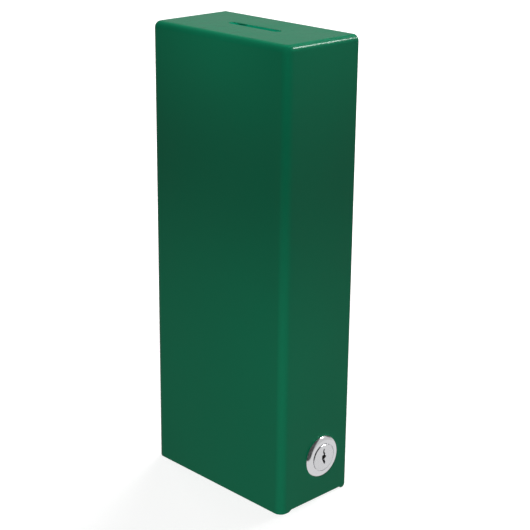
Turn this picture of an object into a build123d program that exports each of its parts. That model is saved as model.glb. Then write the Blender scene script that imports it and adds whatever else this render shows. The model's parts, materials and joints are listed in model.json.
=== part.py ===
"""Slim sheet-steel donation box with a coin slot, a hinged base door and a cam lock.

Millimetres.  X runs along the wide front, towards the lock.  Y runs from the front to the back.
Z is up.  The origin is on the floor, under the middle of the box.
"""

import os
from math import atan2, cos, degrees, radians

from build123d import *

# ---------------------------------------------------------------- driving dimensions

height = 250.0
width = 100.0
depth = 50.0
sheet = 1.5
edge_radius = 4.5
top_edge_radius = 3.5
edge_break = 0.4
near = 0.01

slot_length = 36.5
slot_width = 4.4
slot_y = 1.4

relief_height = 1.0
relief_front_y = -18.8
relief_front_ramp = 2.6
relief_back_y = 22.3
relief_back_ramp = 1.5
foot_corner_radius = 2.2

# back plate
flange_sheet = 1.2
flange_depth = 10.0
flange_bottom_z = 46.0
flange_top_z = 243.0
keyhole_bottom_z = 60.0
keyhole_spacing = 130.0
keyhole_entry_radius = 4.5
keyhole_neck_width = 5.0
keyhole_rise = 8.0

# countersunk rivets that hold the baffle
rivet_hole_radius = 1.6
rivet_shank_radius = 1.55
countersink_radius = 2.8
rivet_head_radius = 2.7
rivet_tail_radius = 2.5
rivet_tail_height = 1.6

# coin baffle
baffle_sheet = 1.2
baffle_width = 80.0
baffle_top_z = 243.0
baffle_bend_z = 231.0
baffle_front_y = -10.5
baffle_front_z = 212.0
baffle_lip = 4.0
baffle_bend_radius = 2.5
baffle_corner_radius = 3.0
baffle_rivet_x = 25.0
baffle_rivet_z = 237.5

# base door and its hinge
door_underside_z = 1.0
door_sheet = 1.2
door_side_gap = 0.5
door_end_gap = 1.0
door_flange_height = 7.5
door_bend_radius = 1.0
door_flange_setback = 6.0
knuckle_overlap = 1.0
hinge_pin_radius = 1.25
hinge_play = 0.05
leaf_sheet = 1.5
leaf_height = 16.5
hinge_half_length = 20.0
knuckle_gap = 0.3
knuckle_count = 5
notch_play = 0.55
leaf_corner_radius = 3.0
pin_overhang = 0.6
pin_chamfer = 0.3

# strike on the base door
strike_sheet = 1.2
strike_width = 13.0
strike_foot = 13.0
strike_web_y = -20.5
strike_lip = 12.0
strike_play = 0.9
strike_bend_radius = 2.0
strike_rivet_spacing = 7.0
strike_rivet_inset = 5.0
strike_rivet_dome = 0.8
strike_tail_foot_radius = 2.4
strike_tail_top_radius = 1.9
strike_tail_side = 1.2
strike_tail_height = 1.5

# cam lock
lock_y = 5.0
lock_z = 25.5
head_radius = 11.6
head_height = 2.1
head_rim_height = 0.7
head_flat_outer_radius = 9.8
head_groove_width = 0.4
head_groove_depth = 0.8
head_bevel_radius = 2.9
head_recess = 0.4
barrel_radius = 9.5
barrel_flat = 8.25
barrel_length = 16.0
barrel_chamfer = 0.6
barrel_play = 0.1
plug_radius = 6.5
plug_head_radius = 7.5
plug_head_chamfer = 0.25
plug_rise = 0.4
plug_play = 0.05
keyway_top = 5.0
keyway_bottom = -3.9
keyway_half_width = 1.55
keyway_end_wall = 1.0
wafer_count = 5
wafer_pitch = 2.2
wafer_thickness = 1.0
wafer_width = 5.0
wafer_travel = 0.6
wafer_play = 0.05
wafer_window_play = 0.3
groove_side_play = 0.4
groove_end_play = 0.3
groove_end_wall = 1.0
lug_bottom = 7.5
lug_top = 9.1
lug_half_width = 2.0
lug_root = 1.0
lug_setback = 0.05
lug_play = 0.1
lug_end_play = 0.3
stop_play_angle = 1.5
spring_wire_radius = 0.12
spring_coil_radius = 0.5
spring_turns = 5
spring_y = 3.4
washer_thickness = 0.8
washer_radius = 12.6
washer_teeth = 18
washer_notch_radius = 0.7
nut_across_flats = 24.0
nut_thickness = 3.5
nut_chamfer = 1.0
nut_play = 0.05
cam_length = 22.0
cam_width = 12.5
cam_thickness = 2.0
cam_hub_radius = 7.5
cam_chamfer = 0.3
spring_washer_radius = 4.3
spring_washer_play = 0.1
spring_washer_split = 0.7
square_drive = 6.4
drive_setback = 0.4
drive_play = 0.1
screw_radius = 2.45
screw_head_radius = 4.6
screw_head_rim = 1.0
screw_head_height = 2.8
screw_point_chamfer = 0.5
screw_recess_width = 1.1
screw_recess_depth = 1.7
screw_hole_spare = 0.2
thread_play = 0.03

# ---------------------------------------------------------------- derived places

inner_width = width - 2 * sheet
inner_left_x = -inner_width / 2
inner_right_x = inner_width / 2
inner_front_y = -depth / 2 + sheet
back_y = depth / 2
back_inner_y = back_y - sheet
inner_top_z = height - sheet
wall_x = width / 2

hinge_x = inner_left_x + hinge_pin_radius + leaf_sheet
door_knuckle_radius = hinge_pin_radius + hinge_play + door_sheet
leaf_knuckle_radius = hinge_pin_radius + leaf_sheet
hinge_z = door_underside_z + door_knuckle_radius
door_top_z = door_underside_z + door_sheet
door_front_y = inner_front_y + door_side_gap
door_back_y = back_inner_y - door_side_gap
door_end_x = inner_right_x - door_end_gap
knuckle_pitch = 2 * hinge_half_length / knuckle_count
notch_radius = leaf_knuckle_radius + notch_play

barrel_end_x = wall_x - barrel_length
head_face_x = wall_x + head_height
plug_face_x = head_face_x + plug_rise
plug_shoulder_x = wall_x + head_recess + plug_play
stop_washer_thickness = 0.9
stop_washer_play = 0.1
stop_washer_x = barrel_end_x - stop_washer_play
cam_x = stop_washer_x - stop_washer_thickness
spring_washer_thickness = 0.8
spring_washer_x = cam_x - cam_thickness
screw_seat_x = spring_washer_x - spring_washer_thickness
screw_end_x = wall_x - 13.6
first_wafer_x = wall_x - 2.4
wafer_body_radius = plug_radius - 0.1
ear_bottom_z = 0.6
ear_height = 1.2
ear_reach = 1.1
ear_end_y = 3.95
ear_play = 0.1
pocket_radius = 0.85
pocket_floor_z = -3.7
strike_x = cam_x - cam_thickness / 2
strike_lip_z = lock_z + cam_width / 2 + strike_play

lock_axis = Axis((0, lock_y, lock_z), (1, 0, 0))
lock_half_plane = Plane(origin=(0, lock_y, lock_z), x_dir=(1, 0, 0), z_dir=(0, -1, 0))


def across_lock(x):
    """Plane square to the lock's axis at x, with local x towards the back and local y up."""
    return Plane(origin=(x, lock_y, lock_z), x_dir=(0, 1, 0), z_dir=(1, 0, 0))


def side_section(x):
    """Plane square to the X axis, with local x along Y and local y up."""
    return Plane(origin=(x, 0, 0), x_dir=(0, 1, 0), z_dir=(1, 0, 0))


def front_section(y):
    """Plane square to the Y axis that extrudes towards the front, with local y up."""
    return Plane(origin=(0, y, 0), x_dir=(1, 0, 0), z_dir=(0, -1, 0))


def dome_radius(rise, base_radius):
    """Radius of the spherical cap with this height over a base of this radius."""
    return (rise**2 + base_radius**2) / (2 * rise)


def on_outer_skin(edge):
    """Whether an edge, longer than the sheet is thick, lies on the outside of the shell."""
    middle = edge @ 0.5
    outside = (
        abs(middle.X) > inner_right_x + 0.1
        or middle.Y < inner_front_y - 0.1
        or middle.Z > inner_top_z + 0.1
    )
    return outside and edge.length > sheet + 0.1


os.makedirs("parts", exist_ok=True)

# ---------------------------------------------------------------- body shell

with BuildPart() as body_shell:
    with BuildSketch(Plane.XY):
        Rectangle(width, depth)
    extrude(amount=height)
    fillet(body_shell.edges().filter_by(Axis.Z).group_by(Axis.Y)[0], radius=edge_radius)
    top_edges = body_shell.faces().sort_by(Axis.Z)[-1].edges().sort_by(Axis.Y)[:-1]
    fillet(top_edges, radius=top_edge_radius)
    bottom_face = body_shell.faces().sort_by(Axis.Z)[0]
    back_face = body_shell.faces().sort_by(Axis.Y)[-1]
    offset(amount=-sheet, openings=[bottom_face, back_face])
    # coin slot
    with BuildSketch(Plane.XY.offset(height)):
        with Locations((0, slot_y)):
            SlotOverall(slot_length, slot_width)
    extrude(amount=-2 * sheet, mode=Mode.SUBTRACT)
    # lock hole, with two flats that stop the lock from turning
    with BuildSketch(across_lock(wall_x)):
        Circle(barrel_radius + barrel_play)
        Rectangle(2 * (barrel_flat + barrel_play), 4 * barrel_radius, mode=Mode.INTERSECT)
    extrude(amount=-2 * sheet, mode=Mode.SUBTRACT)
    # shallow relief in the lower edge of the lock side, with a soft ramp at each end
    with BuildSketch(side_section(wall_x)):
        with BuildLine():
            ramp_in = Spline(
                (relief_front_y, 0),
                (relief_front_y + relief_front_ramp, relief_height),
                tangents=((1, 0), (1, 0)),
            )
            roof = Line(ramp_in @ 1, (relief_back_y - relief_back_ramp, relief_height))
            ramp_out = Spline(roof @ 1, (relief_back_y, 0), tangents=((1, 0), (1, 0)))
            Line(ramp_out @ 1, ramp_in @ 0)
        make_face()
    extrude(amount=-2 * sheet, mode=Mode.SUBTRACT)
    foot_edge = body_shell.edges().filter_by(Axis.X).filter_by_position(Axis.Z, -near, near)
    foot_edge = foot_edge.filter_by_position(Axis.Y, back_y - near, back_y + near)
    fillet(foot_edge.sort_by(Axis.X)[-1], radius=foot_corner_radius)
    # the cut edges are broken outside: round the open back, the open bottom and the slot
    back_rim = body_shell.edges().filter_by_position(Axis.Y, back_y - near, back_y + near)
    bottom_rim = body_shell.edges().filter_by_position(Axis.Z, -near, foot_corner_radius)
    fillet((back_rim + bottom_rim).filter_by(on_outer_skin), radius=edge_break)
    slot_rim = body_shell.edges().filter_by_position(Axis.Z, height - near, height + near)
    slot_rim = slot_rim.filter_by_position(Axis.X, -slot_length / 2 - near, slot_length / 2 + near)
    slot_rim = slot_rim.filter_by_position(
        Axis.Y, slot_y - slot_width / 2 - near, slot_y + slot_width / 2 + near
    )
    fillet(slot_rim, radius=edge_break)

body_shell.part.label = "body_shell"
export_step(body_shell.part, "parts/body_shell.step")

# ---------------------------------------------------------------- back plate

flange_x = inner_right_x - flange_sheet / 2

with BuildPart() as back_plate:
    with BuildSketch(front_section(back_y)) as plate_outline:
        Rectangle(inner_width, inner_top_z, align=(Align.CENTER, Align.MIN))
        fillet(plate_outline.vertices().group_by(Axis.Z)[-1], radius=top_edge_radius - sheet)
        # keyholes: a round entry for a screw head, and a neck above it for the screw's shank
        for keyhole_z in (keyhole_bottom_z, keyhole_bottom_z + keyhole_spacing):
            with Locations((0, keyhole_z)):
                Circle(keyhole_entry_radius, mode=Mode.SUBTRACT)
            with Locations((0, keyhole_z + keyhole_rise / 2)):
                SlotCenterToCenter(
                    keyhole_rise, keyhole_neck_width, rotation=90, mode=Mode.SUBTRACT
                )
    extrude(amount=sheet)
    # side flanges, spot-welded inside the side walls
    with BuildSketch(Plane.XY.offset(flange_bottom_z)):
        with Locations((-flange_x, back_inner_y), (flange_x, back_inner_y)):
            Rectangle(flange_sheet, flange_depth, align=(Align.CENTER, Align.MAX))
    extrude(amount=flange_top_z - flange_bottom_z)
    bend_edges = back_plate.edges().filter_by(Axis.Z)
    bend_edges = bend_edges.filter_by_position(Axis.Y, back_inner_y - near, back_inner_y + near)
    inner_x = inner_right_x - flange_sheet
    bend_edges = bend_edges.filter_by(lambda edge: abs(abs(edge.center().X) - inner_x) < near)
    fillet(bend_edges, radius=flange_sheet)
    # countersunk holes for the baffle's rivets
    for rivet_x in (-baffle_rivet_x, baffle_rivet_x):
        with Locations(Plane(origin=(rivet_x, back_y, baffle_rivet_z), z_dir=(0, 1, 0))):
            CounterSinkHole(
                radius=rivet_hole_radius,
                counter_sink_radius=countersink_radius,
                counter_sink_angle=90,
            )

back_plate.part.label = "back_plate"
export_step(back_plate.part, "parts/back_plate.step")

# ---------------------------------------------------------------- coin baffle

with BuildPart() as coin_baffle:
    with BuildSketch(side_section(-baffle_width / 2)):
        with BuildLine():
            FilletPolyline(
                (back_inner_y, baffle_top_z),
                (back_inner_y, baffle_bend_z),
                (baffle_front_y, baffle_front_z),
                (baffle_front_y, baffle_front_z - baffle_lip),
                radius=baffle_bend_radius,
            )
            offset(amount=baffle_sheet, side=Side.RIGHT)
        make_face()
    extrude(amount=baffle_width)
    corner_edges = coin_baffle.edges().filter_by(Axis.Y).group_by(Axis.Z)[-1]
    fillet(corner_edges, radius=baffle_corner_radius)
    with BuildSketch(front_section(back_y)):
        with Locations((-baffle_rivet_x, baffle_rivet_z), (baffle_rivet_x, baffle_rivet_z)):
            Circle(rivet_hole_radius)
    extrude(amount=sheet + 2 * baffle_sheet, mode=Mode.SUBTRACT)

coin_baffle.part.label = "coin_baffle"
export_step(coin_baffle.part, "parts/coin_baffle.step")

# blind rivets: a countersunk head flush with the back, a shank, and a domed tail inside
with BuildPart() as baffle_rivets:
    tail_y = back_inner_y - baffle_sheet
    for rivet_x in (-baffle_rivet_x, baffle_rivet_x):
        with BuildSketch(
            Plane(origin=(rivet_x, 0, baffle_rivet_z), x_dir=(0, 1, 0), z_dir=(1, 0, 0))
        ):
            with BuildLine():
                Polyline(
                    (tail_y - rivet_tail_height, 0),
                    (back_y, 0),
                    (back_y, rivet_head_radius),
                    (back_y - rivet_head_radius + rivet_shank_radius, rivet_shank_radius),
                    (tail_y, rivet_shank_radius),
                    (tail_y, rivet_tail_radius),
                )
                RadiusArc(
                    (tail_y, rivet_tail_radius),
                    (tail_y - rivet_tail_height, 0),
                    -dome_radius(rivet_tail_height, rivet_tail_radius),
                )
            make_face()
        revolve(axis=Axis((rivet_x, 0, baffle_rivet_z), (0, 1, 0)))

baffle_rivets.part.label = "baffle_rivets"
export_step(baffle_rivets.part, "parts/baffle_rivets.step")

# ---------------------------------------------------------------- hinge

knuckle_bands = [
    -hinge_half_length + knuckle_pitch / 2 + i * knuckle_pitch for i in range(knuckle_count)
]
leaf_bands = knuckle_bands[0::2]
door_bands = knuckle_bands[1::2]
knuckle_length = knuckle_pitch - knuckle_gap

with BuildPart() as hinge_leaf:
    # flat leaf against the left wall
    with BuildSketch(Plane.YZ.offset(inner_left_x)) as leaf_outline:
        with Locations((0, hinge_z)):
            Rectangle(
                2 * hinge_half_length, leaf_height, align=(Align.CENTER, Align.MIN)
            )
        fillet(leaf_outline.vertices().group_by(Axis.Z)[-1], radius=leaf_corner_radius)
        with Locations(*[(y, hinge_z) for y in door_bands]):
            Rectangle(
                knuckle_pitch + knuckle_gap, 2 * notch_radius, mode=Mode.SUBTRACT
            )
    extrude(amount=leaf_sheet)
    # rolled knuckles
    for band_y in leaf_bands:
        with BuildSketch(front_section(band_y + knuckle_length / 2)):
            with Locations((hinge_x, hinge_z)):
                Circle(leaf_knuckle_radius)
        extrude(amount=knuckle_length)
    with BuildSketch(front_section(hinge_half_length)):
        with Locations((hinge_x, hinge_z)):
            Circle(hinge_pin_radius)
    extrude(amount=2 * hinge_half_length, mode=Mode.SUBTRACT)

hinge_leaf.part.label = "hinge_leaf"
export_step(hinge_leaf.part, "parts/hinge_leaf.step")

with BuildPart() as hinge_pin:
    with BuildSketch(front_section(hinge_half_length + pin_overhang)):
        with Locations((hinge_x, hinge_z)):
            Circle(hinge_pin_radius)
    extrude(amount=2 * (hinge_half_length + pin_overhang))
    chamfer(hinge_pin.edges().filter_by(GeomType.CIRCLE), length=pin_chamfer)

hinge_pin.part.label = "hinge_pin"
export_step(hinge_pin.part, "parts/hinge_pin.step")

# ---------------------------------------------------------------- base door

plate_start_x = hinge_x + notch_radius
flange_start_x = hinge_x + door_flange_setback
strike_rivets_x = (strike_x - strike_rivet_spacing / 2, strike_x + strike_rivet_spacing / 2)
strike_rivet_y = strike_web_y + strike_foot - strike_rivet_inset

with BuildPart() as base_door:
    # floor plate, then the two side flanges and the end lip
    with BuildSketch(Plane.XY.offset(door_underside_z)):
        with BuildLine():
            Polyline(
                (plate_start_x, door_front_y),
                (door_end_x, door_front_y),
                (door_end_x, door_back_y),
                (plate_start_x, door_back_y),
                close=True,
            )
        make_face()
    extrude(amount=door_sheet)
    with BuildSketch(Plane.XY.offset(door_underside_z)):
        with BuildLine():
            Polyline(
                (flange_start_x, door_front_y),
                (door_end_x, door_front_y),
                (door_end_x, door_back_y),
                (flange_start_x, door_back_y),
                (flange_start_x, door_back_y - door_sheet),
                (door_end_x - door_sheet, door_back_y - door_sheet),
                (door_end_x - door_sheet, door_front_y + door_sheet),
                (flange_start_x, door_front_y + door_sheet),
                close=True,
            )
        make_face()
    extrude(amount=door_flange_height)
    under_edges = base_door.faces().sort_by(Axis.Z)[0].edges().filter_by_position(
        Axis.X, flange_start_x, door_end_x
    )
    fillet(under_edges.sort_by(Axis.X)[-1], radius=door_bend_radius)
    # the corner by the lock side follows the round inside the shell
    corner_edge = base_door.edges().filter_by(Axis.Z).group_by(Axis.X)[-1].sort_by(Axis.Y)[0]
    fillet(corner_edge, radius=edge_radius - sheet)
    # rolled knuckles, tangent to the underside
    for band_y in door_bands:
        with BuildSketch(front_section(band_y + knuckle_length / 2)):
            with Locations((hinge_x, hinge_z)):
                Circle(door_knuckle_radius)
            with Locations((hinge_x, door_underside_z)):
                Rectangle(
                    notch_radius + knuckle_overlap, door_sheet, align=(Align.MIN, Align.MIN)
                )
        extrude(amount=knuckle_length)
    with BuildSketch(front_section(hinge_half_length)):
        with Locations((hinge_x, hinge_z)):
            Circle(hinge_pin_radius + hinge_play)
    extrude(amount=2 * hinge_half_length, mode=Mode.SUBTRACT)
    # rivet holes for the strike
    with BuildSketch(Plane.XY.offset(door_underside_z)):
        with Locations(*[(x, strike_rivet_y) for x in strike_rivets_x]):
            Circle(rivet_hole_radius)
    extrude(amount=door_sheet, mode=Mode.SUBTRACT)

base_door.part.label = "base_door"
export_step(base_door.part, "parts/base_door.step")

# ---------------------------------------------------------------- strike

with BuildPart() as strike:
    with BuildSketch(side_section(strike_x - strike_width / 2)):
        with BuildLine():
            FilletPolyline(
                (strike_web_y + strike_foot, door_top_z),
                (strike_web_y, door_top_z),
                (strike_web_y, strike_lip_z + strike_sheet),
                (strike_web_y + strike_lip, strike_lip_z + strike_sheet),
                radius=strike_bend_radius,
            )
            offset(amount=strike_sheet, side=Side.RIGHT)
        make_face()
    extrude(amount=strike_width)
    with BuildSketch(Plane.XY.offset(door_top_z)):
        with Locations(*[(x, strike_rivet_y) for x in strike_rivets_x]):
            Circle(rivet_hole_radius)
    extrude(amount=strike_sheet, mode=Mode.SUBTRACT)

strike.part.label = "strike"
export_step(strike.part, "parts/strike.step")

# blind rivets: a low dome under the door, a shank, and a tail on the strike's foot
with BuildPart() as strike_rivets:
    foot_top_z = door_top_z + strike_sheet
    for rivet_x in strike_rivets_x:
        with BuildSketch(
            Plane(origin=(rivet_x, strike_rivet_y, 0), x_dir=(1, 0, 0), z_dir=(0, -1, 0))
        ):
            with BuildLine():
                RadiusArc(
                    (0, door_underside_z - strike_rivet_dome),
                    (rivet_head_radius, door_underside_z),
                    -dome_radius(strike_rivet_dome, rivet_head_radius),
                )
                Polyline(
                    (rivet_head_radius, door_underside_z),
                    (rivet_shank_radius, door_underside_z),
                    (rivet_shank_radius, foot_top_z),
                    (strike_tail_foot_radius, foot_top_z),
                    (strike_tail_top_radius, foot_top_z + strike_tail_side),
                    (0, foot_top_z + strike_tail_height),
                    (0, door_underside_z - strike_rivet_dome),
                )
            make_face()
        revolve(axis=Axis((rivet_x, strike_rivet_y, 0), (0, 0, 1)))

strike_rivets.part.label = "strike_rivets"
export_step(strike_rivets.part, "parts/strike_rivets.step")

# ---------------------------------------------------------------- lock housing

groove_half_width = wafer_width / 2 + groove_side_play
groove_depth_radius = plug_radius + wafer_travel + groove_end_play
lug_reach = stop_washer_play + stop_washer_thickness - lug_setback

with BuildPart() as lock_housing:
    with BuildSketch(lock_half_plane):
        with BuildLine():
            Polyline(
                (wall_x + head_rim_height, head_radius),
                (wall_x, head_radius),
                (wall_x, barrel_radius),
                (barrel_end_x + barrel_chamfer, barrel_radius),
                (barrel_end_x, barrel_radius - barrel_chamfer),
                (barrel_end_x, plug_radius + plug_play),
                (wall_x + head_recess, plug_radius + plug_play),
                (wall_x + head_recess, plug_head_radius + plug_play),
                (head_face_x - head_groove_depth, plug_head_radius + plug_play),
                (head_face_x - head_groove_depth, plug_head_radius + head_groove_width),
                (head_face_x, plug_head_radius + head_groove_width),
                (head_face_x, head_flat_outer_radius),
            )
            RadiusArc(
                (head_face_x, head_flat_outer_radius),
                (wall_x + head_rim_height, head_radius),
                -head_bevel_radius,
            )
        make_face()
    revolve(axis=lock_axis)
    # the two flats of the barrel
    with BuildSketch(across_lock(wall_x)):
        with Locations((-2 * barrel_radius, 0), (2 * barrel_radius, 0)):
            Rectangle(2 * (2 * barrel_radius - barrel_flat), 4 * barrel_radius)
    extrude(amount=-barrel_length, mode=Mode.SUBTRACT)
    # four grooves that the wafers can enter: at rest, and a quarter turn on
    with BuildSketch(across_lock(barrel_end_x)):
        Rectangle(2 * groove_half_width, 2 * groove_depth_radius)
        Rectangle(2 * groove_depth_radius, 2 * groove_half_width)
    extrude(amount=barrel_length - groove_end_wall, mode=Mode.SUBTRACT)
    # stop lug on the end of the barrel
    with BuildSketch(across_lock(barrel_end_x + lug_root)):
        with Locations((0, (lug_bottom + lug_top) / 2)):
            Rectangle(2 * lug_half_width, lug_top - lug_bottom)
    extrude(amount=-lug_root - lug_reach)

lock_housing.part.label = "lock_housing"
export_step(lock_housing.part, "parts/lock_housing.step")

# ---------------------------------------------------------------- lock plug

# across the plug: towards the back, and up
keyway_points = [
    (-0.40, keyway_top),
    (0.45, keyway_top),
    (0.00, 3.40),
    (0.90, 2.00),
    (0.55, 1.40),
    (keyway_half_width, 0.60),
    (keyway_half_width, -0.10),
    (0.15, -0.90),
    (1.10, -3.00),
    (0.90, keyway_bottom),
    (0.10, keyway_bottom),
    (-keyway_half_width, -0.70),
    (-keyway_half_width, 1.30),
    (-0.20, 1.80),
    (-0.90, 3.20),
]
wafer_stations = [first_wafer_x - i * wafer_pitch for i in range(wafer_count)]

with BuildPart() as lock_plug:
    with BuildSketch(lock_half_plane):
        with BuildLine():
            Polyline(
                (plug_face_x, 0),
                (plug_face_x, plug_head_radius - plug_head_chamfer),
                (plug_face_x - plug_head_chamfer, plug_head_radius),
                (plug_shoulder_x, plug_head_radius),
                (plug_shoulder_x, plug_radius),
                (barrel_end_x, plug_radius),
                (barrel_end_x, 0),
                close=True,
            )
        make_face()
    revolve(axis=lock_axis)
    # square drive for the stop washer and the cam
    with BuildSketch(across_lock(barrel_end_x)):
        Rectangle(square_drive, square_drive)
    extrude(amount=-(barrel_end_x - spring_washer_x - drive_setback))
    # keyway with a zigzag outline: thin in its upper half, wider in its lower half
    with BuildSketch(across_lock(plug_face_x)):
        with BuildLine():
            Polyline(*keyway_points, close=True)
        make_face()
    extrude(amount=-(plug_face_x - screw_end_x - keyway_end_wall), mode=Mode.SUBTRACT)
    # wafer slots, with a pocket beside each for its spring and ear
    for station_x in wafer_stations:
        with BuildSketch(across_lock(station_x - wafer_thickness / 2 - wafer_play)):
            Rectangle(wafer_width + 2 * wafer_play, 4 * plug_radius)
            with Locations((wafer_width / 2, ear_bottom_z - ear_play)):
                Rectangle(ear_reach, 2 * plug_radius, align=(Align.MIN, Align.MIN))
        extrude(amount=wafer_thickness + 2 * wafer_play, mode=Mode.SUBTRACT)
        with BuildSketch(Plane.XY.offset(lock_z + pocket_floor_z)):
            with Locations((station_x, lock_y + spring_y)):
                Circle(pocket_radius)
        extrude(amount=2 * plug_radius, mode=Mode.SUBTRACT)
    # threaded hole for the cam screw
    with BuildSketch(across_lock(spring_washer_x)):
        Circle(screw_radius + thread_play)
    extrude(amount=screw_end_x - spring_washer_x + screw_hole_spare, mode=Mode.SUBTRACT)

lock_plug.part.label = "lock_plug"
export_step(lock_plug.part, "parts/lock_plug.step")

# ---------------------------------------------------------------- wafers and their springs

spring_end_play = 0.02
spring_bottom_z = pocket_floor_z + spring_end_play + spring_wire_radius
spring_top_z = ear_bottom_z - spring_end_play - spring_wire_radius

for number, station_x in enumerate(wafer_stations, 1):
    with BuildPart() as lock_wafer:
        with BuildSketch(across_lock(station_x - wafer_thickness / 2)):
            Circle(wafer_body_radius)
            Rectangle(wafer_width, 3 * plug_radius, mode=Mode.INTERSECT)
            with Locations((0, (keyway_top + keyway_bottom) / 2)):
                Rectangle(
                    2 * (keyway_half_width + wafer_window_play),
                    keyway_top - keyway_bottom + wafer_window_play,
                    mode=Mode.SUBTRACT,
                )
            with Locations((0.4 * wafer_width, ear_bottom_z)):
                Rectangle(
                    ear_end_y - 0.4 * wafer_width,
                    ear_height,
                    align=(Align.MIN, Align.MIN),
                )
        extrude(amount=wafer_thickness)
    lock_wafer.part.label = f"lock_wafer_{number}"
    export_step(lock_wafer.part, f"parts/lock_wafer_{number}.step")

    with BuildPart() as wafer_spring:
        with BuildLine():
            coil = Helix(
                pitch=(spring_top_z - spring_bottom_z) / spring_turns,
                height=spring_top_z - spring_bottom_z,
                radius=spring_coil_radius,
                center=(station_x, lock_y + spring_y, lock_z + spring_bottom_z),
            )
        with BuildSketch(Plane(origin=coil @ 0, z_dir=coil % 0)):
            Circle(spring_wire_radius)
        sweep()
    wafer_spring.part.label = f"wafer_spring_{number}"
    export_step(wafer_spring.part, f"parts/wafer_spring_{number}.step")

# ---------------------------------------------------------------- nut and washer behind the wall

with BuildPart() as lock_washer:
    with BuildSketch(across_lock(inner_right_x)):
        Circle(washer_radius)
        Circle(barrel_radius + barrel_play, mode=Mode.SUBTRACT)
        # teeth round the rim
        with PolarLocations(washer_radius, washer_teeth):
            Circle(washer_notch_radius, mode=Mode.SUBTRACT)
    extrude(amount=-washer_thickness)

lock_washer.part.label = "lock_washer"
export_step(lock_washer.part, "parts/lock_washer.step")

nut_face_x = inner_right_x - washer_thickness

with BuildPart() as lock_nut:
    with BuildSketch(across_lock(nut_face_x)):
        RegularPolygon(nut_across_flats / 2, 6, major_radius=False, rotation=90)
    extrude(amount=-nut_thickness)
    # the corners are turned down on both faces
    with BuildSketch(lock_half_plane):
        with BuildLine():
            corner = nut_across_flats / 2 / cos(radians(30))
            Polyline(
                (nut_face_x, 0),
                (nut_face_x, nut_across_flats / 2),
                (nut_face_x - nut_chamfer, corner),
                (nut_face_x - nut_thickness + nut_chamfer, corner),
                (nut_face_x - nut_thickness, nut_across_flats / 2),
                (nut_face_x - nut_thickness, 0),
                close=True,
            )
        make_face()
    revolve(axis=lock_axis, mode=Mode.INTERSECT)
    with BuildSketch(across_lock(nut_face_x)):
        Circle(barrel_radius + nut_play)
    extrude(amount=-nut_thickness, mode=Mode.SUBTRACT)

lock_nut.part.label = "lock_nut"
export_step(lock_nut.part, "parts/lock_nut.step")

# ---------------------------------------------------------------- stop washer, cam and screw

drive_hole = square_drive + drive_play
lug_half_angle = degrees(atan2(lug_half_width, lug_bottom)) + stop_play_angle
notch_start_angle = 90.0 - lug_half_angle
notch_sweep = 90.0 + 2 * lug_half_angle

with BuildPart() as stop_washer:
    with BuildSketch(across_lock(stop_washer_x)):
        Circle(lug_top + lug_play)
        # the notch that the lug runs in spans the quarter turn and the lug
        with BuildLine():
            outer_arc = CenterArc((0, 0), head_radius, notch_start_angle, notch_sweep)
            inner_arc = CenterArc((0, 0), lug_bottom - lug_end_play, notch_start_angle, notch_sweep)
            Line(outer_arc @ 0, inner_arc @ 0)
            Line(outer_arc @ 1, inner_arc @ 1)
        make_face(mode=Mode.SUBTRACT)
        Rectangle(drive_hole, drive_hole, mode=Mode.SUBTRACT)
    extrude(amount=-stop_washer_thickness)

stop_washer.part.label = "stop_washer"
export_step(stop_washer.part, "parts/stop_washer.step")

# the cam hangs straight down when the lock is open
with BuildPart() as cam:
    with BuildSketch(across_lock(cam_x)):
        with Locations((0, -(cam_length - cam_width / 2) / 2)):
            SlotCenterToCenter(cam_length - cam_width / 2, cam_width, rotation=90)
        Circle(cam_hub_radius)
        Rectangle(drive_hole, drive_hole, mode=Mode.SUBTRACT)
    extrude(amount=-cam_thickness)
    chamfer(cam.edges().group_by(Axis.X)[0].filter_by(GeomType.CIRCLE), length=cam_chamfer)

cam.part.label = "cam"
export_step(cam.part, "parts/cam.step")

with BuildPart() as cam_spring_washer:
    with BuildSketch(across_lock(spring_washer_x)):
        Circle(spring_washer_radius)
        Circle(screw_radius + spring_washer_play, mode=Mode.SUBTRACT)
        # the slanting split
        with Locations((0, spring_washer_radius)):
            Rectangle(spring_washer_split, spring_washer_radius, rotation=20, mode=Mode.SUBTRACT)
    extrude(amount=-spring_washer_thickness)

cam_spring_washer.part.label = "cam_spring_washer"
export_step(cam_spring_washer.part, "parts/cam_spring_washer.step")

with BuildPart() as cam_screw:
    with BuildSketch(lock_half_plane):
        with BuildLine():
            Polyline(
                (screw_seat_x - screw_head_height, 0),
                (screw_end_x, 0),
                (screw_end_x, screw_radius - screw_point_chamfer),
                (screw_end_x - screw_point_chamfer, screw_radius),
                (screw_seat_x, screw_radius),
                (screw_seat_x, screw_head_radius),
                (screw_seat_x - screw_head_rim, screw_head_radius),
            )
            RadiusArc(
                (screw_seat_x - screw_head_rim, screw_head_radius),
                (screw_seat_x - screw_head_height, 0),
                -dome_radius(screw_head_height - screw_head_rim, screw_head_radius),
            )
        make_face()
    revolve(axis=lock_axis)
    # cross recess in the head
    with BuildSketch(across_lock(screw_seat_x - screw_head_height)):
        Rectangle(screw_recess_width, screw_head_radius)
        Rectangle(screw_head_radius, screw_recess_width)
    extrude(amount=screw_recess_depth, mode=Mode.SUBTRACT)

cam_screw.part.label = "cam_screw"
export_step(cam_screw.part, "parts/cam_screw.step")
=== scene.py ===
import json
import math

import bpy
from mathutils import Matrix, Vector


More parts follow.
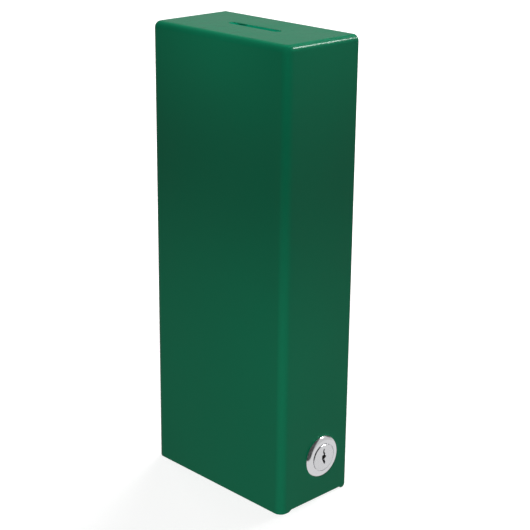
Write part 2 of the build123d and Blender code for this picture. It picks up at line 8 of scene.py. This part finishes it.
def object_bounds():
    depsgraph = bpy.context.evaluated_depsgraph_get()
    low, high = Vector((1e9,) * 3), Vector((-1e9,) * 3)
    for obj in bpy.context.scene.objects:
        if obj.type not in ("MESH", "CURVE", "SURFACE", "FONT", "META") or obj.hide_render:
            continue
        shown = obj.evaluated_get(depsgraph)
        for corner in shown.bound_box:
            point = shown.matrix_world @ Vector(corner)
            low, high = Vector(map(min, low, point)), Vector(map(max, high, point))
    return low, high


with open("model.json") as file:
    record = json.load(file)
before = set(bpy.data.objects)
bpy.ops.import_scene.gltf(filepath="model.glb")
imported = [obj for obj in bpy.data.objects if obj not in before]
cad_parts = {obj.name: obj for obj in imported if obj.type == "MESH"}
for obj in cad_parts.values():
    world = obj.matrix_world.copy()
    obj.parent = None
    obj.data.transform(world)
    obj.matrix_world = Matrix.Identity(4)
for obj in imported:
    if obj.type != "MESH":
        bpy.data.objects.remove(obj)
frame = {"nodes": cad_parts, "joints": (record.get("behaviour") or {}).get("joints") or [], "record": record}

cad_low, cad_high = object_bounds()
MM = 0.001

# ---------------------------------------------------------------- places taken from the frame

joints = {joint["name"]: joint for joint in frame["joints"]}
LOCK_POINT = Vector(joints["lock_turn"]["pos_m"])

# ---------------------------------------------------------------- camera

VIEW_AZIMUTH = math.radians(45.505)
VIEW_ELEVATION = math.radians(19.228)
VIEW_ROLL = math.radians(0.633)
VIEW_DISTANCE = 0.7514
VIEW_AIM = Vector((5.85, 4.85, 122.78)) * MM
LENS_MM = 95.27


def make_camera():
    """The viewing angle: wide front to the left, lock side to the right, a little from above."""
    data = bpy.data.cameras.new("camera")
    data.lens = LENS_MM
    data.sensor_width = 36.0
    data.clip_start = 0.01
    data.clip_end = 100.0
    camera = bpy.data.objects.new("camera", data)
    bpy.context.scene.collection.objects.link(camera)
    back = Vector((
        math.sin(VIEW_AZIMUTH) * math.cos(VIEW_ELEVATION),
        -math.cos(VIEW_AZIMUTH) * math.cos(VIEW_ELEVATION),
        math.sin(VIEW_ELEVATION),
    ))
    level = (-back).to_track_quat("-Z", "Y").to_matrix()
    roll = Matrix.Rotation(VIEW_ROLL, 3, "Z")
    camera.matrix_world = (level @ roll).to_4x4()
    camera.location = VIEW_AIM + back * VIEW_DISTANCE
    bpy.context.scene.camera = camera


make_camera()

# ---------------------------------------------------------------- node helpers


class Nodes:
    """A node tree and short ways to add nodes to it."""

    def __init__(self, tree):
        self.tree = tree

    def node(self, kind, **settings):
        made = self.tree.nodes.new(kind)
        for key, value in settings.items():
            setattr(made, key, value)
        return made

    def link(self, out, into):
        self.tree.links.new(out, into)

    def feed(self, socket, value):
        """Links a node's output to the socket, or sets the socket to a constant."""
        if isinstance(value, bpy.types.NodeSocket):
            self.link(value, socket)
        elif value is not None:
            socket.default_value = value

    def remap(self, value, low, high, from_low=0.3, from_high=0.7, kind="LINEAR"):
        made = self.node("ShaderNodeMapRange", interpolation_type=kind)
        self.feed(made.inputs["Value"], value)
        self.feed(made.inputs["From Min"], from_low)
        self.feed(made.inputs["From Max"], from_high)
        self.feed(made.inputs["To Min"], low)
        self.feed(made.inputs["To Max"], high)
        return made.outputs["Result"]

    def maths(self, operation, a, b=None):
        made = self.node("ShaderNodeMath", operation=operation)
        self.feed(made.inputs[0], a)
        self.feed(made.inputs[1], b)
        return made.outputs["Value"]

    def length(self, a, b):
        """The length of the two numbers taken as a flat vector."""
        squares = self.maths("ADD", self.maths("MULTIPLY", a, a), self.maths("MULTIPLY", b, b))
        return self.maths("SQRT", squares)

    def split(self, vector):
        made = self.node("ShaderNodeSeparateXYZ")
        self.link(vector, made.inputs["Vector"])
        return made.outputs["X"], made.outputs["Y"], made.outputs["Z"]

    def mix(self, factor, a, b):
        """A number between a and b."""
        made = self.node("ShaderNodeMix", data_type="FLOAT")
        self.feed(made.inputs[0], factor)
        self.feed(made.inputs[2], a)
        self.feed(made.inputs[3], b)
        return made.outputs[0]


class Shader(Nodes):
    """A material made of one Principled BSDF and procedural textures."""

    def __init__(self, name):
        self.material = bpy.data.materials.new(name)
        self.material.use_nodes = True
        super().__init__(self.material.node_tree)
        self.bsdf = self.tree.nodes["Principled BSDF"]
        self.place = self.node("ShaderNodeTexCoord").outputs["Object"]

    def set(self, **values):
        """Constant values, set on the shader's own sockets."""
        for key, value in values.items():
            self.bsdf.inputs[key.replace("_", " ")].default_value = value

    def noise(self, scale, detail=2.0, roughness=0.5, place=None):
        made = self.node("ShaderNodeTexNoise")
        made.inputs["Scale"].default_value = scale
        made.inputs["Detail"].default_value = detail
        made.inputs["Roughness"].default_value = roughness
        self.link(place or self.place, made.inputs["Vector"])
        return made.outputs["Fac"]

    def stretched(self, scale):
        """The object's coordinates, scaled by a different amount along each axis."""
        made = self.node("ShaderNodeMapping")
        made.inputs["Scale"].default_value = scale
        self.link(self.place, made.inputs["Vector"])
        return made.outputs["Vector"]

    def blend(self, factor, colour_a, colour_b):
        made = self.node("ShaderNodeMix", data_type="RGBA")
        self.link(factor, made.inputs["Factor"])
        for socket, value in zip((made.inputs[6], made.inputs[7]), (colour_a, colour_b)):
            if isinstance(value, tuple):
                socket.default_value = (*value, 1.0)
            else:
                self.link(value, socket)
        return made.outputs[2]

    def bump(self, height, distance, strength=1.0, under=None):
        made = self.node("ShaderNodeBump")
        made.inputs["Strength"].default_value = strength
        made.inputs["Distance"].default_value = distance
        self.link(height, made.inputs["Height"])
        self.feed(made.inputs["Normal"], under)
        return made.outputs["Normal"]

    def finish(self, colour=None, roughness=None, normal=None):
        for key, value in (("Base Color", colour), ("Roughness", roughness), ("Normal", normal)):
            if value is not None:
                self.link(value, self.bsdf.inputs[key])
        return self.material


# ---------------------------------------------------------------- materials

# the slot in the top: its middle, half its length and width, and the cut wall between two heights
SLOT_Y = 1.4 * MM
SLOT_HALF_LENGTH = 18.4 * MM
SLOT_HALF_WIDTH = 2.4 * MM
SLOT_WALL_Z = (248.45 * MM, 249.75 * MM)
SLOT_FRONT_WALL_GAP = 0.3 * MM
# a painted dark patch of shade on the back wall of the slot
SLOT_SHADE_PATCH_X = (-14.5 * MM, -8.5 * MM)
SLOT_SHADE_PATCH_Z = (249.15 * MM, 249.75 * MM)
SLOT_SHADE_PATCH_SOFT_X = 1.2 * MM
SLOT_SHADE_PATCH_SOFT_Z = 0.15 * MM
# the screw thread of the lock's barrel
THREAD_PITCH = 1.0 * MM
THREAD_INNER_RADIUS = 9.3 * MM
THREAD_START = 0.1 * MM


def within(shader, value, low, high, soft=0.1 * MM):
    """1 where the value lies between low and high, with a soft rim."""
    rise = shader.remap(value, 0.0, 1.0, low - soft, low + soft)
    fall = shader.remap(value, 1.0, 0.0, high - soft, high + soft)
    return shader.maths("MULTIPLY", rise, fall)


def powder_coat():
    """Glossy dark green powder coat on steel: orange peel, a fine grain and faint clouding.

    The back wall of the slot is painted a much brighter green as painted light, with a painted dark patch of
    shade on it.
    """
    paint = Shader("green_powder_coat")
    clouds = paint.noise(14.0, detail=3.0)
    colour = paint.blend(clouds, (0.0050, 0.180, 0.086), (0.0060, 0.198, 0.095))
    x, y, z = paint.split(paint.place)
    # the back wall of the slot, where light is painted into the colour
    painted_light_slot_wall = paint.maths(
        "MULTIPLY",
        within(paint, x, -SLOT_HALF_LENGTH, SLOT_HALF_LENGTH),
        paint.maths(
            "MULTIPLY",
            within(paint, y, SLOT_Y - SLOT_FRONT_WALL_GAP, SLOT_Y + SLOT_HALF_WIDTH),
            within(paint, z, *SLOT_WALL_Z),
        ),
    )
    # painted shade: a soft dark patch on the back wall of the slot
    painted_shade_patch = paint.maths(
        "MULTIPLY",
        within(paint, x, *SLOT_SHADE_PATCH_X, soft=SLOT_SHADE_PATCH_SOFT_X),
        within(paint, z, *SLOT_SHADE_PATCH_Z, soft=SLOT_SHADE_PATCH_SOFT_Z),
    )
    # painted light: a much brighter green on the slot's back wall stands for light falling on it
    colour = paint.blend(painted_light_slot_wall, colour, (0.009, 0.62, 0.34))
    # painted shade: the dark patch is painted only on the slot's back wall
    colour = paint.blend(paint.maths("MULTIPLY", painted_shade_patch, painted_light_slot_wall), colour, (0.004, 0.110, 0.062))
    grain = paint.noise(2600.0, detail=2.0)
    peel = paint.noise(1400.0, detail=2.0)
    roughness = paint.remap(paint.noise(55.0, detail=4.0), 0.19, 0.27)
    normal = paint.bump(peel, 0.016 * MM)
    normal = paint.bump(grain, 0.012 * MM, under=normal)
    paint.set(Specular_IOR_Level=0.06, Coat_Weight=0.05, Coat_Roughness=0.04, IOR=1.45)
    return paint.finish(colour, roughness, normal)


def round_lock(shader):
    """The place along the lock's axis, across it, above it, and the distance from it."""
    x, y, z = shader.split(shader.place)
    across = shader.maths("SUBTRACT", y, LOCK_POINT.y)
    up = shader.maths("SUBTRACT", z, LOCK_POINT.z)
    return x, across, up, shader.length(across, up)


def chrome():
    """Polished chrome plating with faint wiping marks."""
    metal = Shader("polished_chrome")
    smudge = metal.noise(160.0, detail=4.0)
    colour = metal.blend(smudge, (0.80, 0.80, 0.82), (0.88, 0.88, 0.90))
    roughness = metal.remap(smudge, 0.07, 0.16)
    wipe = metal.noise(1.0, detail=3.0, place=metal.stretched((2500.0, 500.0, 2500.0)))
    # the screw thread on the round parts of the barrel, behind the wall
    x, across, up, radius = round_lock(metal)
    turns = metal.maths("DIVIDE", metal.maths("ARCTAN2", up, across), 2 * math.pi)
    turns = metal.maths("ADD", turns, metal.maths("DIVIDE", x, THREAD_PITCH))
    threaded = metal.maths(
        "MULTIPLY",
        metal.maths("LESS_THAN", x, LOCK_POINT.x - THREAD_START),
        metal.maths("GREATER_THAN", radius, THREAD_INNER_RADIUS),
    )
    thread = metal.maths("MULTIPLY", metal.maths("PINGPONG", turns, 0.5), threaded)
    metal.set(Metallic=1.0)
    normal = metal.bump(thread, THREAD_PITCH)
    return metal.finish(colour, roughness, metal.bump(wipe, 0.004 * MM, under=normal))


def lock_face():
    """Satin chrome on the plug, turned in fine circles round its axis."""
    metal = Shader("satin_chrome_plug")
    _, _, _, radius = round_lock(metal)
    rings = metal.node("ShaderNodeTexNoise", noise_dimensions="1D")
    rings.inputs["Scale"].default_value = 5200.0
    rings.inputs["Detail"].default_value = 2.0
    metal.link(radius, rings.inputs["W"])
    wear = metal.noise(420.0, detail=3.0)
    colour = metal.blend(wear, (0.78, 0.78, 0.80), (0.86, 0.86, 0.88))
    roughness = metal.remap(wear, 0.20, 0.32)
    normal = metal.bump(rings.outputs["Fac"], 0.004 * MM)
    scratch = metal.noise(1.0, detail=4.0, place=metal.stretched((900.0, 2600.0, 500.0)))
    metal.set(Metallic=1.0)
    return metal.finish(colour, roughness, metal.bump(scratch, 0.005 * MM, under=normal))


def plated(name, light, dark, rough_low, rough_high):
    """Pressed and plated metal, with blotches in the plating and fine drawing lines."""
    metal = Shader(name)
    blotch = metal.noise(120.0, detail=5.0, roughness=0.6)
    colour = metal.blend(blotch, dark, light)
    roughness = metal.remap(metal.noise(300.0, detail=3.0), rough_low, rough_high)
    lines = metal.noise(1.0, detail=3.0, place=metal.stretched((400.0, 3000.0, 3000.0)))
    metal.set(Metallic=1.0)
    return metal.finish(colour, roughness, metal.bump(lines, 0.006 * MM))


looks = {
    "green_coat": powder_coat(),
    "chrome": chrome(),
    "chrome_plug": lock_face(),
    "zinc_steel": plated("zinc_plate", (0.66, 0.67, 0.68), (0.52, 0.54, 0.56), 0.24, 0.40),
    "steel": plated("plain_steel", (0.52, 0.51, 0.50), (0.38, 0.37, 0.36), 0.28, 0.45),
    "rivet_aluminium": plated("rivet_aluminium", (0.74, 0.74, 0.75), (0.62, 0.62, 0.63), 0.35, 0.50),
    "brass": plated("stamped_brass", (0.76, 0.57, 0.26), (0.58, 0.41, 0.17), 0.25, 0.42),
}

for subpart in frame["record"]["subparts"]:
    holder = frame["nodes"][subpart["node"]]
    look = looks[subpart["material_slot"]]
    for slot in holder.material_slots:
        slot.material = look

# ---------------------------------------------------------------- stage

FLOOR_WIDTH = 40.0
# the floor's glow grows between these distances from the object's middle
GLOW_RANGE = (0.08, 0.50)
SPOT_LAMP_RADIUS = 0.05


def make_floor():
    """A pale paper floor.

    It glows away from the object, is hidden from its reflections and is clear from below.
    """
    half = FLOOR_WIDTH / 2
    corners = [(-half, -half, 0), (half, -half, 0), (half, half, 0), (-half, half, 0)]
    mesh = bpy.data.meshes.new("floor")
    mesh.from_pydata(corners, [], [(0, 1, 2, 3)])
    floor = bpy.data.objects.new("floor", mesh)
    bpy.context.scene.collection.objects.link(floor)
    paper = Shader("pale_floor")
    tone = paper.blend(paper.noise(3.0, detail=3.0), (0.34, 0.34, 0.34), (0.36, 0.36, 0.36))
    x, y, _ = paper.split(paper.place)
    glow = paper.remap(paper.length(x, y), 0.80, 1.0, *GLOW_RANGE, kind="SMOOTHSTEP")
    paper.link(glow, paper.bsdf.inputs["Emission Strength"])
    paper.set(Roughness=0.9, Specular_IOR_Level=0.1, Emission_Color=(1.0, 1.0, 1.0, 1.0))
    mesh.materials.append(paper.finish(tone))
    clear = paper.node("ShaderNodeMixShader")
    paper.link(paper.node("ShaderNodeNewGeometry").outputs["Backfacing"], clear.inputs["Fac"])
    paper.link(paper.bsdf.outputs["BSDF"], clear.inputs[1])
    paper.link(paper.node("ShaderNodeBsdfTransparent").outputs["BSDF"], clear.inputs[2])
    paper.link(clear.outputs["Shader"], paper.tree.nodes["Material Output"].inputs["Surface"])
    floor.location.z = cad_low[2]
    floor.visible_glossy = False
    floor.visible_diffuse = False
    floor.visible_shadow = False


def put_light(name, data, place, aim):
    light = bpy.data.objects.new(name, data)
    bpy.context.scene.collection.objects.link(light)
    light.location = place
    light.rotation_mode = "QUATERNION"
    light.rotation_quaternion = (Vector(aim) - Vector(place)).to_track_quat("-Z", "Y")
    return light


def area_light(name, place, aim, width, height, power):
    data = bpy.data.lights.new(name, "AREA")
    data.shape = "RECTANGLE"
    data.size = width
    data.size_y = height
    data.energy = power
    return put_light(name, data, place, aim)


def spot_light(name, place, aim, half_angle, blend, power):
    """A soft round beam that fades towards its rim."""
    data = bpy.data.lights.new(name, "SPOT")
    data.energy = power
    data.spot_size = math.radians(2 * half_angle)
    data.spot_blend = blend
    data.shadow_soft_size = SPOT_LAMP_RADIUS
    return put_light(name, data, place, aim)


def make_world():
    """An even studio: white to the camera, dim as a light, and a table and a room in what is reflected."""
    world = bpy.data.worlds.new("studio")
    bpy.context.scene.world = world
    world.use_nodes = True
    world.node_tree.nodes.clear()
    sky = Nodes(world.node_tree)
    x, y, z = sky.split(sky.node("ShaderNodeTexCoord").outputs["Generated"])
    path = sky.node("ShaderNodeLightPath")
    behind = sky.maths("MULTIPLY", sky.maths("SUBTRACT", y, x), 0.7071)
    # the pale table fills the lower half, less so to the left
    table = sky.remap(x, 0.48, 0.74, -0.6, -0.2, kind="SMOOTHSTEP")
    # the dark room in front, with some clutter
    clutter = sky.node("ShaderNodeTexNoise")
    sky.feed(clutter.inputs["Scale"], 7.0)
    dark = sky.remap(clutter.outputs["Fac"], 0.004, 0.13, 0.42, 0.60)
    dark_front = sky.remap(behind, dark, 0.32, 0.55, 0.85, kind="SMOOTHSTEP")
    # a pale wall behind and to the right
    right_back = sky.maths("ADD", sky.maths("MULTIPLY", x, 0.5), sky.maths("MULTIPLY", y, 0.87))
    wall = sky.remap(right_back, 0.05, 0.60, 0.45, 0.65, kind="SMOOTHSTEP")
    room = sky.maths("MAXIMUM", dark_front, wall)
    horizon = sky.maths("ADD", z, sky.maths("MULTIPLY", behind, -0.13))
    above = sky.remap(horizon, 0.0, 1.0, -0.25, -0.12, kind="SMOOTHSTEP")
    # a dark stand straight behind
    stand = sky.maths("ADD", sky.maths("MULTIPLY", y, 0.95), sky.maths("MULTIPLY", z, 0.31))
    room = sky.mix(sky.remap(stand, 0.0, 0.85, 0.955, 0.985, kind="SMOOTHSTEP"), room, 0.05)
    mirrored = sky.mix(above, table, room)
    lit = sky.mix(path.outputs["Is Glossy Ray"], 0.03, mirrored)
    seen = sky.mix(path.outputs["Is Camera Ray"], lit, 1.0)
    background = sky.node("ShaderNodeBackground")
    sky.feed(background.inputs["Color"], (1.0, 1.0, 1.0, 1.0))
    sky.link(seen, background.inputs["Strength"])
    out = sky.node("ShaderNodeOutputWorld")
    sky.link(background.outputs["Background"], out.inputs["Surface"])


make_floor()
make_world()

# a narrow light that shows only as a highlight on the round edges and the metal
back_strip = area_light("back_strip", (0.73, 1.12, 1.32), (0.05, 0, 0.25), 0.36, 0.40, 33.0)
back_strip.visible_diffuse = False

# large and soft lights that shape the paint and never show in a reflection
matt_lights = (
    area_light("overhead", (-0.35, 1.65, 2.75), (0, 0, 0.1), 1.6, 1.6, 104.0),
    area_light("front", (0.80, -0.82, 0.93), (0, 0, 0.13), 0.35, 0.35, 8.5),
    spot_light("front_low", (0.91, -0.93, 0.06), (0.02, -0.01, 0.04), 6.2, 0.75, 18.6),
    spot_light("top_left", (-0.44, -1.20, 0.32), (0.0, -0.025, 0.268), 3.2, 1.0, 20.0),
    spot_light("top_right", (1.22, 0.44, 0.32), (0.05, 0.0, 0.268), 3.2, 1.0, 18.0),
    area_light("below", (0.0, 0.0, -1.2), (0, 0, 0), 0.3, 0.3, 6.0),
    area_light("left", (-1.35, 0.30, 0.35), (0, 0, 0.12), 0.5, 0.5, 6.0),
)
for light in matt_lights:
    light.visible_glossy = False

bpy.context.scene.view_settings.view_transform = "Standard"
